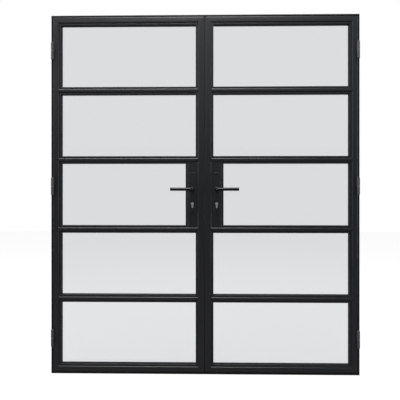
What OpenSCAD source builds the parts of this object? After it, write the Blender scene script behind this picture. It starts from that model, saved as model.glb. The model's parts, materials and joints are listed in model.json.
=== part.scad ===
// Pair of slim steel french doors in a plate frame, five panes of glass to a leaf.
// The front faces -Y, and the origin is the middle of the frame's foot.
// Every leaf part is drawn for the right leaf, and the left leaf mirrors it.

/* [Frame] */
// Overall width over the frame
frame_w = 1800; // [1500:10:2200]
// Overall height over the frame
frame_h = 2100; // [1950:10:2400]
// Depth of the frame, front to back
frame_d = 90; // [84:1:120]
// Thickness of the frame plate, seen from the front
frame_t = 6; // [6:0.5:12]
// Height of the stop over the frame plate
stop_h = 22; // [18:1:30]
// Thickness of the stop
stop_t = 9; // [7:0.5:12]
// Space between the back of the leaves and the stop
stop_space = 3; // [2:0.25:4]
// Distance of the seal from the edge of the stop
seal_in = 8; // [6:0.5:10]
// Width of the seal
seal_w = 8; // [6:0.5:10]
// Width of the seal's groove
groove_w = 4; // [3:0.5:5]
// Depth of the seal's groove
groove_d = 2; // [1.5:0.25:3]
// Diameter of the fixing holes through the jambs
fixing_d = 8.5; // [5:0.5:10]
// Fixing holes in each jamb
fixing_count = 4; // [2:1:6]
// Distance of the outer fixing holes from the ends of the jambs
fixing_end = 200; // [120:10:400]
// Distance of the fixing holes from the back of the frame
fixing_back = 14; // [12:1:15]

/* [Gaps] */
// Gap between the leaves and the frame
edge_gap = 2.5; // [2:0.25:5]
// Gap between the two leaves
meet_gap = 4; // [3.5:0.25:6]
// Width of the lips of the meeting seal
meet_seal_w = 6; // [4:0.5:8]
// Distance of the lips from the front and the rear of the leaf
meet_seal_in = 1; // [1:0.25:4]
// Radial play of a running fit
run_fit = 0.05; // [0.02:0.01:0.1]
// Play round a part that only passes through
pass_gap = 0.3; // [0.2:0.05:0.5]

/* [Leaf] */
// Face width of the rails and the hinge stiles
member_w = 34.5; // [28:0.5:60]
// Face width of the meeting stiles
meet_w = 38; // [36:1:60]
// Depth of the leaf, front to back
leaf_d = 50; // [50:1:58]
// Wall of the steel tubes
tube_wall = 2; // [1.5:0.25:3]
// Outer corner radius of the tubes
tube_r = 5; // [3:0.5:6]
// Outer corner radius along the meeting edge
meet_r = 1; // [0.5:0.25:2]

/* [Glazing] */
// Rows of panes in each leaf, an odd number
pane_rows = 5; // [3:2:7]
// Face width of the glazing bars
bar_w = 20; // [16:1:40]
// Face width of the glazing beads
bead_w = 12; // [10:0.5:16]
// Depth of the glazing beads
bead_d = 32; // [20:0.5:32]
// How far the beads stand back from the front of the leaf
bead_back = 5; // [2:0.5:5]
// Wall of the beads
bead_wall = 1.5; // [1:0.25:2]
// Outer corner radius of the beads
bead_r = 1.5; // [1:0.25:2]
// Open joint at the mitres of the beads
bead_joint = 0.3; // [0.2:0.1:0.5]
// Thickness of the glass
glass_t = 6; // [4:0.5:6]
// How far the glass reaches behind the beads
glass_cover = 9; // [7:0.5:9.5]
// Thickness of the gaskets
gasket_t = 1.5; // [1:0.25:2]
// Face width of the gaskets
gasket_w = 7; // [5:0.5:7.5]
// Face width of the fixed rear stops
rear_stop_w = 8; // [8:0.5:12]
// How far the rear stops stand back from the rear of the leaf
rear_back = 1; // [0.5:0.25:1.5]

/* [Lock box] */
// Width of the lock box beside the meeting stile
lock_box_w = 59; // [57:1:80]
// How far the lock box stands back from the faces of the leaf
lock_box_back = 3; // [2:0.5:5]
// Wall of the lock box
lock_box_wall = 2; // [1.5:0.25:3]
// Distance of the spindle from the meeting stile
spindle_in = 31; // [29:1:34]
// Height of the spindle over the middle of the frame
lever_up = 31; // [20:1:40]
// Distance of the key cylinder below the spindle
cylinder_drop = 85; // [78:1:92]

/* [Lock case] */
// Thickness of the lock case
case_t = 16; // [14:0.5:20]
// Reach of the lock case behind the spindle
case_behind = 18; // [17:0.5:19]
// Height of the lock case over the spindle
case_over = 49; // [40:1:60]
// Depth of the lock case below the key cylinder
case_under = 56; // [50:1:65]
// Width of the faceplate and the strike
face_w = 24; // [20:1:26]
// Reach of the faceplate and the strike past both ends of the lock case
face_end = 20; // [18:1:30]
// Thickness of the faceplate and the strike
face_t = 3; // [2.5:0.5:4]
// Height of the latch bolt and the dead bolt
bolt_h = 30; // [24:1:34]
// Thickness of the latch bolt and the dead bolt
bolt_t = 12; // [10:0.5:12]
// How far the latch bolt stands out of the faceplate
latch_out = 12; // [9:0.5:13]
// Travel of the dead bolt
bolt_throw = 20; // [14:0.5:20]
// Length of the latch bolt's head behind the faceplate
latch_head = 24; // [20:1:28]
// Height of the latch bolt's tail
tail_h = 12; // [8:1:16]
// Thickness of the latch bolt's tail
tail_t = 8; // [6:0.5:9]
// Diameter of the follower
follower_d = 20; // [18:0.5:22]
// Side of the square spindle
spindle_s = 8; // [7:0.5:10]

/* [Key cylinder] */
// Diameter of the cylinder's round part
euro_d = 17; // [16:0.5:18]
// Overall height of the cylinder's profile
euro_h = 33; // [31:0.5:34]
// Width of the cylinder's tail
euro_tail_w = 10; // [9:0.5:11]
// How far the cylinder stands out of the lever plates
euro_out = 3; // [1:0.5:5]
// Diameter of the key plug
plug_d = 12; // [11:0.5:13]
// Width of the cam
cam_w = 9; // [8:0.5:10]
// Reach of the cam from the axis of the plug
cam_reach = 14.5; // [13:0.5:15]
// Height of the keyway
keyway_h = 8; // [6:0.5:9]
// Width of the keyway
keyway_w = 2.2; // [1.5:0.1:3]
// Depth of the keyway
keyway_deep = 14; // [8:1:20]

/* [Levers] */
// Width of the lever plates
plate_w = 34; // [30:1:40]
// Reach of the lever plates below the key cylinder
plate_under = 57; // [50:1:62]
// Thickness of the lever plates
plate_t = 4; // [3:0.5:6]
// Corner radius of the lever plates
plate_r = 5; // [2:0.5:8]
// Height of the lever plates over the spindle
plate_over = 98; // [88:1:105]
// Diameter of the lever's round bar
lever_d = 18.5; // [14:0.5:19]
// Reach of the lever from its spindle to its end
lever_len = 127; // [100:1:150]
// Distance of the lever's grip from the plate
lever_reach = 48; // [38:1:60]
// Radius of the bend, on the bar's centre line
bend_r = 11.5; // [10:0.5:20]
// Edge radius at the end of the grip
grip_edge = 2; // [1:0.5:4]
// Diameter of the collar at the foot of the lever
collar_d = 25; // [22:0.5:28]
// Length of the collar
collar_l = 8; // [4:0.5:12]
// Edge radius of the collar
collar_edge = 1.5; // [0.5:0.25:2]

/* [Shoot rods] */
// Diameter of the shoot rods
rod_d = 10; // [8:0.5:10]
// Distance of the shoot rods from the meeting edge
rod_in = 25.5; // [24.5:0.5:27]
// How far the shoot rods reach into the frame
rod_bite = 5; // [4:0.25:5.5]
// Travel of the shoot rods
rod_throw = 12; // [12:0.5:14]
// Length of the shoot rods inside the lock case
rod_grip = 28; // [22:1:30]
// Length of the keeper plates
keeper_l = 60; // [45:1:80]
// Width of the keeper plates
keeper_w = 22; // [18:1:30]
// Thickness of the keeper plates
keeper_t = 2; // [1.5:0.25:3]

/* [Hinges] */
// Diameter of the hinge barrels
hinge_d = 16; // [15:0.5:20]
// Length of the hinge barrels
hinge_l = 102; // [90:1:140]
// Diameter of the hinge pins
pin_d = 9; // [8:0.5:10]
// Length of the hinge pins
pin_l = 68; // [60:1:78]
// Thickness of the bearing washers
washer_t = 2; // [1.5:0.25:3]
// Edge radius at the ends of the barrels
barrel_edge = 4; // [2:0.5:6]
// Gap between the barrels and the face of the doors
hinge_gap = 0.6; // [0.4:0.1:1]
// Distance of the outer hinges from the top and the foot of the frame
hinge_end = 210; // [150:5:300]
// Height of the middle hinge over the middle of the frame
hinge_up = 48; // [0:1:100]

/* [Screws] */
// Diameter of the screws
screw_d = 4; // [3:0.5:5]
// Head diameter of the screws
screw_head_d = 7.5; // [7:0.5:9]
// Head height of the screws
screw_head_t = 2; // [1.5:0.25:2.5]
// Length of the screws
screw_l = 9; // [8:0.5:12]
// Distance of the screws from the ends of their plates
screw_end = 10; // [9:0.5:11]
// Size of the hexagon socket
socket_d = 2.6; // [2:0.1:3]

/* [Hidden] */
$fn = 64;

// Finishes
coat = "#232427";
coat_light = "#2f3033";
rubber = "#141415";
glass = "#dfe3e5";
nickel = "#c4c5c6";
zinc = "#9ea2a6";
brass = "#b59a5a";

// Overlap of a cutting tool past the face it cuts
past = 1;
// Smallest radius inside a tube
least_r = 0.5;
// Play of a plate in its recess
recess_gap = 0.2;
// Play between the washers and the leaf's knuckles
washer_play = 0.1;
// Play of a pin in the knuckle that holds it
hold_fit = 0.02;
// Play between the withdrawn latch and the follower
tail_clear = 3;
// Play round the lever's neck in the wall of the lock box
neck_play = 1;

// Depth of the doors
leaf_front = -leaf_d / 2;
leaf_rear = leaf_d / 2;
frame_rear = leaf_front + frame_d;
stop_front = leaf_rear + stop_space;
frame_mid = frame_h / 2;
groove_x0 = frame_t + stop_h - seal_in - groove_w / 2;

// Outline of the right leaf
leaf_x0 = meet_gap / 2;
leaf_x1 = frame_w / 2 - frame_t - edge_gap;
leaf_z0 = frame_t + edge_gap;
leaf_z1 = frame_h - leaf_z0;
leaf_w = leaf_x1 - leaf_x0;
leaf_h = leaf_z1 - leaf_z0;

// Opening between the stiles and rails, and its rows
open_x0 = leaf_x0 + meet_w;
open_x1 = leaf_x1 - member_w;
open_z0 = leaf_z0 + member_w;
open_w = open_x1 - open_x0;
open_h = leaf_h - 2 * member_w;
pane_h = (open_h - (pane_rows - 1) * bar_w) / pane_rows;
pitch = pane_h + bar_w;
lock_row = (pane_rows - 1) / 2;
lock_z0 = open_z0 + lock_row * pitch;
lock_x1 = open_x0 + lock_box_w;

// Depths of the glazing, front to back
bead_front = leaf_front + bead_back;
bead_rear = bead_front + bead_d;
glass_front = bead_rear + gasket_t;
glass_rear = glass_front + glass_t;
rear_stop_front = glass_rear + gasket_t;
rear_stop_t = leaf_rear - rear_back - rear_stop_front;

// Lock set
spindle_x = open_x0 + spindle_in;
lever_z = frame_mid + lever_up;
cylinder_z = lever_z - cylinder_drop;
box_face = leaf_d / 2 - lock_box_back;
plate_face = box_face + plate_t;
plate_h = plate_over + cylinder_drop + plate_under;
plate_z0 = cylinder_z - plate_under;
case_x0 = leaf_x0 + face_t;
case_x1 = spindle_x + case_behind;
case_z0 = cylinder_z - case_under;
case_z1 = lever_z + case_over;
face_mid = (case_z0 + case_z1) / 2;
face_h = case_z1 - case_z0 + 2 * face_end;
face_screw_z = face_h / 2 - screw_end;
cam_pocket = cam_reach + past;
euro_tail = euro_h - euro_d / 2;
latch_travel = latch_out - 1;
tail_x1 = spindle_x - follower_d / 2 - latch_travel - tail_clear;
spindle_half = plate_face + lever_reach / 2;
spindle_play = [2 * run_fit, 2 * pass_gap, 2 * run_fit];
grip_y = plate_face + lever_reach;

// Hinges and shoot rods
axis_x = leaf_x1;
axis_y = leaf_front - hinge_gap - hinge_d / 2;
hinge_heights = [hinge_end, frame_mid + hinge_up, frame_h - hinge_end];
rod_x = leaf_x0 + rod_in;
rod_z1 = leaf_z1 + edge_gap + rod_bite;
rod_z0 = leaf_z0 - edge_gap - rod_bite;
keeper_hole_d = rod_d + 2 * pass_gap;
frame_hole_d = keeper_hole_d + 2 * pass_gap;

// Left edge of the opening of one row
function pane_x0(row) = row == lock_row ? lock_x1 : open_x0;

module left_side() {
    mirror([1, 0, 0]) children();
}

// Both ends or both faces of what the children draw
module front_and_rear() {
    children();
    mirror([0, 1, 0]) children();
}

// Rectangle with round corners, from 0 to w and centred on its depth
module rounded(w, d, r) {
    translate([r, -d / 2]) square([w - 2 * r, d]);
    translate([0, r - d / 2]) square([w, d - 2 * r]);
    for (x = [r, w - r], y = [r - d / 2, d / 2 - r]) {
        translate([x, y]) circle(r);
    }
}

module tube_section(w, d, r, wall) {
    difference() {
        rounded(w, d, r);
        translate([wall, 0]) rounded(w - 2 * wall, d - 2 * wall, max(r - wall, least_r));
    }
}

// Half of a tube section, from its edge at 0 to its middle
module half_section(w, d, r, wall) {
    intersection() {
        tube_section(w, d, r, wall);
        translate([0, -d / 2]) square([w / 2, d]);
    }
}

// Runs a section along X, its first axis up and its second along Y
module run(length) {
    translate([length, 0, 0]) rotate([0, -90, 0]) linear_extrude(length) children();
}

// A run of a section, mitred to members of widths w0 and w1 that cross its ends
module mitred(length, w, w0, w1, joint = 0) {
    slope0 = w0 / w;
    slope1 = w1 / w;
    reach = w + past;
    intersection() {
        run(length) children();
        rotate([90, 0, 0]) linear_extrude(3 * frame_d, center = true) polygon([
            [joint - slope0 * past, -past],
            [length - joint + slope1 * past, -past],
            [length - joint - slope1 * reach, reach],
            [joint + slope0 * reach, reach]
        ]);
    }
}

// Stands a run on end, its outer edge at x = 0 and its face towards -X
module upright() {
    rotate([0, -90, 0]) children();
}

// Extrudes an XZ outline along Y, from y0 to y1
module along_y(y0, y1) {
    translate([0, y1, 0]) rotate([90, 0, 0]) linear_extrude(y1 - y0) children();
}

// Extrudes a YZ outline along X, from x0 to x1
module along_x(x0, x1) {
    translate([x0, 0, 0]) rotate([90, 0, 90]) linear_extrude(x1 - x0) children();
}

// Runs a section round the four sides of a rectangle, as mitred strips
module round_sides(w, h, face, joint = 0) {
    mitred(w, face, face, face, joint) children();
    translate([0, 0, h]) mirror([0, 0, 1]) mitred(w, face, face, face, joint) children();
    translate([w, 0, 0]) upright() mitred(h, face, face, face, joint) children();
    mirror([1, 0, 0]) upright() mitred(h, face, face, face, joint) children();
}

// Frame, an angle section of plate and stop with a groove for its seal
module frame_section() {
    difference() {
        union() {
            translate([0, leaf_front]) square([frame_t, frame_d]);
            translate([0, stop_front]) square([frame_t + stop_h, stop_t]);
        }
        translate([groove_x0, stop_front - past]) square([groove_w, groove_d + past]);
    }
}

module frame_member(length) {
    face = frame_t + stop_h;
    mitred(length, face, face, face) frame_section();
}

// Recess and hole for a keeper, cut into the frame plate from inside
module keeper_cut() {
    translate([rod_x, 0, frame_t]) {
        translate([-keeper_l / 2, -keeper_w / 2, -keeper_t]) cube([keeper_l, keeper_w, keeper_t + past]);
        translate([0, 0, -frame_t - past]) cylinder(h = frame_t + 2 * past, d = frame_hole_d);
    }
}

module frame_sill() {
    color(coat) difference() {
        translate([-frame_w / 2, 0, 0]) frame_member(frame_w);
        left_side() keeper_cut();
    }
}

module frame_head() {
    color(coat) translate([0, 0, frame_h]) mirror([0, 0, 1]) difference() {
        translate([-frame_w / 2, 0, 0]) frame_member(frame_w);
        left_side() keeper_cut();
    }
}

module frame_jamb() {
    fixing_pitch = (frame_h - 2 * fixing_end) / (fixing_count - 1);
    color(coat) difference() {
        translate([frame_w / 2, 0, 0]) upright() frame_member(frame_h);
        for (i = [0 : fixing_count - 1]) {
            translate([frame_w / 2 + past, frame_rear - fixing_back, fixing_end + i * fixing_pitch])
                rotate([0, -90, 0]) cylinder(h = frame_t + 2 * past, d = fixing_d);
        }
    }
}

// Seal, a flat lip on a stem in the groove of the stop
module seal_section() {
    lip_x0 = groove_x0 + groove_w / 2 - seal_w / 2;
    translate([lip_x0, leaf_rear + pass_gap]) square([seal_w, stop_space - pass_gap]);
    translate([groove_x0, leaf_rear + pass_gap]) square([groove_w, stop_space - pass_gap + groove_d]);
}

module frame_seal() {
    color(rubber) translate([-frame_w / 2, 0, 0])
        round_sides(frame_w, frame_h, frame_t + stop_h) seal_section();
}

// Keeper plates let into the sill and the head under the shoot rods
module keeper() {
    difference() {
        translate([rod_x - keeper_l / 2, -keeper_w / 2, frame_t - keeper_t])
            cube([keeper_l, keeper_w, keeper_t]);
        translate([rod_x, 0, 0]) cylinder(h = frame_t + past, d = keeper_hole_d);
    }
}

module rod_keepers() {
    color(zinc) left_side() {
        keeper();
        translate([0, 0, frame_h]) mirror([0, 0, 1]) keeper();
    }
}

// Round bar along Z, from 0 to its rounded end
module round_bar(d, length, edge) {
    rotate_extrude() {
        square([d / 2, length - edge]);
        square([d / 2 - edge, length]);
        translate([d / 2 - edge, length - edge]) circle(edge);
    }
}

// Knuckle with its weld lug, its open end at z = 0 and its closed end below
module knuckle(lug_x0, lug_x1, play) {
    length = (hinge_l - washer_t) / 2;
    bore_deep = pin_l / 2 - washer_t / 2 + past;
    lug_end = hinge_d / 3;
    lug_l = length - 2 * lug_end;
    difference() {
        union() {
            mirror([0, 0, 1]) round_bar(hinge_d, length, min(barrel_edge, hinge_d / 4));
            translate([lug_x0, 0, lug_end - length])
                cube([lug_x1 - lug_x0, leaf_front - axis_y, lug_l]);
        }
        translate([0, 0, -bore_deep]) cylinder(h = bore_deep + past, d = pin_d + 2 * play);
    }
}

module at_hinges() {
    for (z = hinge_heights) {
        translate([axis_x, axis_y, z]) children();
    }
}

module frame_knuckles() {
    at_hinges() translate([0, 0, -washer_t / 2])
        knuckle(edge_gap + recess_gap, hinge_d / 2 - recess_gap, hold_fit);
}

module hinge_frame_knuckles() {
    color(coat_light) {
        frame_knuckles();
        left_side() frame_knuckles();
    }
}

module leaf_knuckles() {
    color(coat_light) at_hinges() translate([0, 0, washer_t / 2]) mirror([0, 0, 1])
        knuckle(recess_gap - hinge_d / 2, -tube_r, run_fit);
}

module pins() {
    at_hinges() translate([0, 0, -pin_l / 2]) cylinder(h = pin_l, d = pin_d);
}

module hinge_pins() {
    color(zinc) {
        pins();
        left_side() pins();
    }
}

module washers() {
    at_hinges() translate([0, 0, -washer_t / 2]) difference() {
        cylinder(h = washer_t - washer_play, d = hinge_d - 2 * pass_gap);
        translate([0, 0, -past]) cylinder(h = washer_t + 2 * past, d = pin_d + pass_gap);
    }
}

module hinge_washers() {
    color(brass) {
        washers();
        left_side() washers();
    }
}

// Stiles and rails of one leaf, mitred tubes; the meeting stile has a sharper edge at the joint
module leaf_member(length, w, w0, w1) {
    mitred(length, w, w0, w1) tube_section(w, leaf_d, tube_r, tube_wall);
}

module hinge_stile() {
    color(coat) translate([leaf_x1, 0, leaf_z0]) upright()
        leaf_member(leaf_h, member_w, member_w, member_w);
}

// Outline of the faceplate and the strike, a strip with half-round ends
module face_outline(grow = 0) {
    end_z = face_h / 2 - face_w / 2;
    translate([-face_w / 2 - grow, -end_z]) square([face_w + 2 * grow, 2 * end_z]);
    for (z = [-end_z, end_z]) {
        translate([0, z]) circle(face_w / 2 + grow);
    }
}

module meeting_stile() {
    color(coat) difference() {
        translate([leaf_x0, 0, leaf_z0]) mirror([1, 0, 0]) upright()
            mitred(leaf_h, meet_w, member_w, member_w) {
                half_section(meet_w, leaf_d, meet_r, tube_wall);
                translate([meet_w, 0]) mirror([1, 0]) half_section(meet_w, leaf_d, tube_r, tube_wall);
            }
        translate([0, 0, face_mid]) along_x(leaf_x0 - past, case_x0) face_outline(recess_gap);
        translate([open_x0 - tube_wall - past, -case_t / 2 - pass_gap, case_z0 - pass_gap])
            cube([tube_wall + 2 * past, case_t + 2 * pass_gap, case_z1 - case_z0 + 2 * pass_gap]);
    }
}

// Hole for a shoot rod through the outer wall of a rail
module rod_hole() {
    translate([rod_x, 0, leaf_z0 - past])
        cylinder(h = tube_wall + 2 * past, d = rod_d + 2 * pass_gap);
}

module bottom_rail(has_rod) {
    color(coat) difference() {
        translate([leaf_x0, 0, leaf_z0]) leaf_member(leaf_w, member_w, meet_w, member_w);
        if (has_rod) rod_hole();
    }
}

module top_rail(has_rod) {
    translate([0, 0, frame_h]) mirror([0, 0, 1]) bottom_rail(has_rod);
}

module glazing_bars() {
    color(coat) for (i = [1 : pane_rows - 1]) {
        translate([open_x0, 0, open_z0 + i * pitch - bar_w])
            run(open_w) tube_section(bar_w, leaf_d, tube_r, tube_wall);
    }
}

// Places its children at the lower left corner of each row's opening
module each_pane() {
    for (row = [0 : pane_rows - 1]) {
        $pane_w = open_x1 - pane_x0(row);
        translate([pane_x0(row), 0, open_z0 + row * pitch]) children();
    }
}

module bead_section() {
    translate([0, bead_front + bead_d / 2]) tube_section(bead_w, bead_d, bead_r, bead_wall);
}

module glazing_beads() {
    color(coat) each_pane() round_sides($pane_w, pane_h, bead_w, bead_joint / 2) bead_section();
}

// Flat ring inside a row's opening, from one distance off its edge to another
module pane_ring(inset, face) {
    difference() {
        translate([inset, inset]) square([$pane_w - 2 * inset, pane_h - 2 * inset]);
        translate([inset + face, inset + face])
            square([$pane_w - 2 * (inset + face), pane_h - 2 * (inset + face)]);
    }
}

module rear_stops() {
    color(coat) each_pane()
        along_y(rear_stop_front, rear_stop_front + rear_stop_t) pane_ring(0, rear_stop_w);
}

module gaskets() {
    color(rubber) each_pane() {
        along_y(bead_rear, glass_front) pane_ring(bead_w - gasket_w, gasket_w);
        along_y(glass_rear, rear_stop_front) pane_ring(rear_stop_w - gasket_w, gasket_w);
    }
}

module glass_panes() {
    inset = bead_w - glass_cover;
    color(glass) each_pane() along_y(glass_front, glass_rear)
        translate([inset, inset]) square([$pane_w - 2 * inset, pane_h - 2 * inset]);
}

// Profile of the key cylinder, its round part on the axis and its tail below
module euro_profile(grow = 0) {
    foot = euro_tail - euro_tail_w / 2;
    circle(euro_d / 2 + grow);
    translate([-euro_tail_w / 2 - grow, -foot]) square([euro_tail_w + 2 * grow, foot]);
    translate([0, -foot]) circle(euro_tail_w / 2 + grow);
}

module at_cylinder() {
    translate([spindle_x, 0, cylinder_z]) children();
}

module at_spindle() {
    translate([spindle_x, 0, lever_z]) children();
}

// Straight hole along Y through everything from -reach to reach
module bore_y(d, reach) {
    rotate([90, 0, 0]) cylinder(h = 2 * reach, d = d, center = true);
}

// Heights of the screws of a lever plate
function plate_screw_heights() = [plate_z0 + screw_end, plate_z0 + plate_h - screw_end];

// Lock box, a channel that closes against the meeting stile
module lock_box() {
    color(coat) difference() {
        translate([open_x0, 0, lock_z0]) linear_extrude(pane_h) difference() {
            intersection() {
                translate([-tube_r, 0]) rounded(lock_box_w + tube_r, 2 * box_face, tube_r);
                translate([0, -box_face]) square([lock_box_w, 2 * box_face]);
            }
            translate([-past, lock_box_wall - box_face])
                square([lock_box_w - lock_box_wall + past, 2 * (box_face - lock_box_wall)]);
        }
        at_spindle() bore_y(lever_d + 2 * neck_play, box_face + past);
        at_cylinder() along_y(-box_face - past, box_face + past) euro_profile(recess_gap);
        for (z = plate_screw_heights()) {
            translate([spindle_x, 0, z]) bore_y(screw_d + recess_gap, box_face + past);
        }
    }
}

// Channel of a bolt in the lock case or through a plate
module bolt_channel(x0, x1, z, h, t, play) {
    translate([x0, -t / 2 - play, z - h / 2 - play])
        cube([x1 - x0, t + 2 * play, h + 2 * play]);
}

// What both lock cases have: the follower's bore, the cylinder's hole and the cam's pocket
module case_block() {
    difference() {
        translate([case_x0, -case_t / 2, case_z0])
            cube([case_x1 - case_x0, case_t, case_z1 - case_z0]);
        at_spindle() bore_y(follower_d, case_t);
        at_cylinder() along_y(-case_t, case_t) euro_profile(recess_gap);
        at_cylinder() bore_y(2 * cam_pocket, cam_w / 2 + pass_gap);
    }
}

module lock_case_active() {
    color(zinc) difference() {
        case_block();
        bolt_channel(case_x0 - past, case_x0 + latch_head + latch_travel + past, lever_z,
            bolt_h, bolt_t, pass_gap);
        bolt_channel(case_x0, tail_x1 + latch_travel + past, lever_z, tail_h, tail_t, pass_gap);
        bolt_channel(case_x0 - past, spindle_x - cam_pocket + past, cylinder_z,
            bolt_h, bolt_t, pass_gap);
    }
}

// The passive case takes the bolts of the other leaf and carries the shoot rods
module lock_case_passive() {
    bolt_deep = leaf_x0 + bolt_throw - meet_gap + past;
    rod_room = rod_grip + rod_throw + 2 * past;
    color(zinc) difference() {
        case_block();
        bolt_channel(case_x0 - past, leaf_x0 + latch_out - meet_gap + 2 * past, lever_z,
            bolt_h, bolt_t, past);
        bolt_channel(case_x0 - past, bolt_deep, cylinder_z, bolt_h, bolt_t, past);
        translate([rod_x, 0, case_z1 - rod_room]) cylinder(h = rod_room + past, d = rod_d + 2 * run_fit);
        translate([rod_x, 0, case_z0 - past]) cylinder(h = rod_room + past, d = rod_d + 2 * run_fit);
    }
}

module face_strip() {
    translate([0, 0, face_mid]) along_x(leaf_x0, case_x0) face_outline();
}

module face_screw_holes() {
    for (z = [-face_screw_z, face_screw_z]) {
        translate([leaf_x0, 0, face_mid + z]) rotate([0, 90, 0]) screw_body(past);
    }
}

module faceplate() {
    color(nickel) difference() {
        face_strip();
        bolt_channel(leaf_x0 - past, case_x0 + past, lever_z, bolt_h, bolt_t, pass_gap);
        bolt_channel(leaf_x0 - past, case_x0 + past, cylinder_z, bolt_h, bolt_t, pass_gap);
        face_screw_holes();
    }
}

module strike_plate() {
    color(nickel) difference() {
        face_strip();
        bolt_channel(leaf_x0 - past, case_x0 + past, lever_z, bolt_h, bolt_t, past);
        bolt_channel(leaf_x0 - past, case_x0 + past, cylinder_z, bolt_h, bolt_t, past);
        face_screw_holes();
    }
}

// Latch bolt, bevelled on the side that meets the strike as the leaf closes
module latch_bolt() {
    head_x1 = case_x0 + latch_head;
    nose_y = -bolt_t / 3;
    color(nickel) {
        translate([0, 0, lever_z - bolt_h / 2]) linear_extrude(bolt_h) polygon([
            [head_x1, -bolt_t / 2],
            [leaf_x0 - latch_out, -bolt_t / 2],
            [leaf_x0 - latch_out, nose_y],
            [leaf_x0 - past, bolt_t / 2],
            [head_x1, bolt_t / 2]
        ]);
        bolt_channel(head_x1, tail_x1, lever_z, tail_h, tail_t, 0);
    }
}

module dead_bolt() {
    color(nickel) bolt_channel(leaf_x0 + pass_gap, spindle_x - cam_pocket - 2 * past,
        cylinder_z, bolt_h, bolt_t, 0);
}

module cylinder_body() {
    reach = plate_face + euro_out;
    slot = cam_w / 2 + 2 * pass_gap;
    color(nickel) at_cylinder() difference() {
        along_y(-reach, reach) euro_profile();
        bore_y(plug_d + 2 * run_fit, reach + past);
        translate([-euro_d, -slot, -cam_reach - past]) cube([2 * euro_d, 2 * slot, 2 * euro_d]);
    }
}

// Key plug, turned in one with its cam, with a keyway in both ends
module cylinder_plug() {
    reach = plate_face + euro_out + pass_gap;
    rib_t = keyway_w / 3;
    rib_h = keyway_h / 3;
    color(zinc) at_cylinder() difference() {
        union() {
            bore_y(plug_d, reach);
            along_y(-cam_w / 2, cam_w / 2) {
                circle(euro_d / 2 - pass_gap);
                translate([-euro_tail_w / 2 + pass_gap, -cam_reach + past])
                    square([euro_tail_w - 2 * pass_gap, cam_reach - past]);
                translate([0, -cam_reach + euro_tail_w / 2]) circle(euro_tail_w / 2 - pass_gap);
            }
        }
        front_and_rear() along_y(-reach - past, keyway_deep - reach) {
            translate([-keyway_w / 2, -keyway_h / 2]) square([keyway_w, keyway_h]);
            translate([-keyway_w / 2 - rib_t, -rib_h / 2]) square([keyway_w + rib_t, rib_h]);
        }
    }
}

// Lever plate of the front, with the lever's bearing and the cylinder's hole
module lever_plate() {
    color(coat_light) difference() {
        translate([spindle_x - plate_w / 2, 0, plate_z0 + plate_h / 2])
            along_y(-plate_face, -box_face) rounded(plate_w, plate_h, plate_r);
        at_spindle() bore_y(lever_d + 2 * run_fit, plate_face + past);
        at_cylinder() along_y(-plate_face - past, past) euro_profile(recess_gap);
        for (z = plate_screw_heights()) {
            translate([spindle_x, -plate_face, z]) rotate([-90, 0, 0]) screw_body(past);
        }
    }
}

module plate_rear() {
    mirror([0, 1, 0]) lever_plate();
}

// Countersunk screw, its head flush at z = 0 and its shank along +Z
module screw_body(over = 0) {
    translate([0, 0, -over]) cylinder(h = over, d = screw_head_d);
    cylinder(h = screw_head_t, d1 = screw_head_d, d2 = screw_d);
    cylinder(h = screw_l, d = screw_d);
}

module screw() {
    difference() {
        screw_body();
        translate([0, 0, -past]) cylinder(h = screw_head_t / 2 + past, d = socket_d, $fn = 6);
    }
}

module plate_screws() {
    color(coat_light) front_and_rear() for (z = plate_screw_heights()) {
        translate([spindle_x, -plate_face, z]) rotate([-90, 0, 0]) screw();
    }
}

module face_screws() {
    color(nickel) for (z = [-face_screw_z, face_screw_z]) {
        translate([leaf_x0, 0, face_mid + z]) rotate([0, 90, 0]) screw();
    }
}

// Lever of the front: a round bar that leaves the plate, bends and runs to the hinge side
module lever() {
    bend_y = grip_y - bend_r;
    grip_l = lever_len - bend_r;
    color(coat_light) at_spindle() difference() {
        union() {
            rotate([90, 0, 0]) translate([0, 0, box_face]) cylinder(h = bend_y - box_face, d = lever_d);
            rotate([90, 0, 0]) translate([0, 0, plate_face + pass_gap])
                round_bar(collar_d, collar_l, collar_edge);
            translate([bend_r, -bend_y, 0]) rotate([0, 0, 180]) rotate_extrude(angle = 90)
                translate([bend_r, 0]) circle(lever_d / 2);
            translate([bend_r, -grip_y, 0]) rotate([0, 90, 0]) round_bar(lever_d, grip_l, grip_edge);
        }
        cube([spindle_s, 2 * spindle_half, spindle_s] + spindle_play, center = true);
    }
}

module lever_rear() {
    mirror([0, 1, 0]) lever();
}

module spindle() {
    color(zinc) at_spindle() cube([spindle_s, 2 * spindle_half, spindle_s], center = true);
}

module follower() {
    color(brass) at_spindle() difference() {
        bore_y(follower_d - 2 * run_fit, case_t / 2);
        cube([spindle_s, 2 * case_t, spindle_s] + spindle_play, center = true);
    }
}

// Shoot rod with a bevelled tip, its foot in the lock case
module shoot_rod(z0, z1) {
    tip = rod_d / 5;
    color(zinc) translate([rod_x, 0, z0]) {
        cylinder(h = z1 - z0 - tip, d = rod_d);
        translate([0, 0, z1 - z0 - tip]) cylinder(h = tip, d1 = rod_d, d2 = rod_d - 2 * tip);
    }
}

module rod_top() {
    shoot_rod(case_z1 - rod_grip, rod_z1);
}

module rod_bottom() {
    mirror([0, 0, 1]) shoot_rod(-case_z0 - rod_grip, -rod_z0);
}

// Two rubber lips on the edge of the right leaf, which close the gap and bend as it swings
module meeting_seal() {
    seal_t = meet_gap - pass_gap;
    color(rubber) front_and_rear()
        translate([leaf_x0 - seal_t, leaf_front + meet_seal_in, leaf_z0])
            cube([seal_t, meet_seal_w, leaf_h]);
}

frame_head();
frame_sill();
left_side() frame_jamb();  // frame_jamb_left
frame_jamb();  // frame_jamb_right
frame_seal();
hinge_frame_knuckles();
hinge_pins();
hinge_washers();
rod_keepers();

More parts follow.
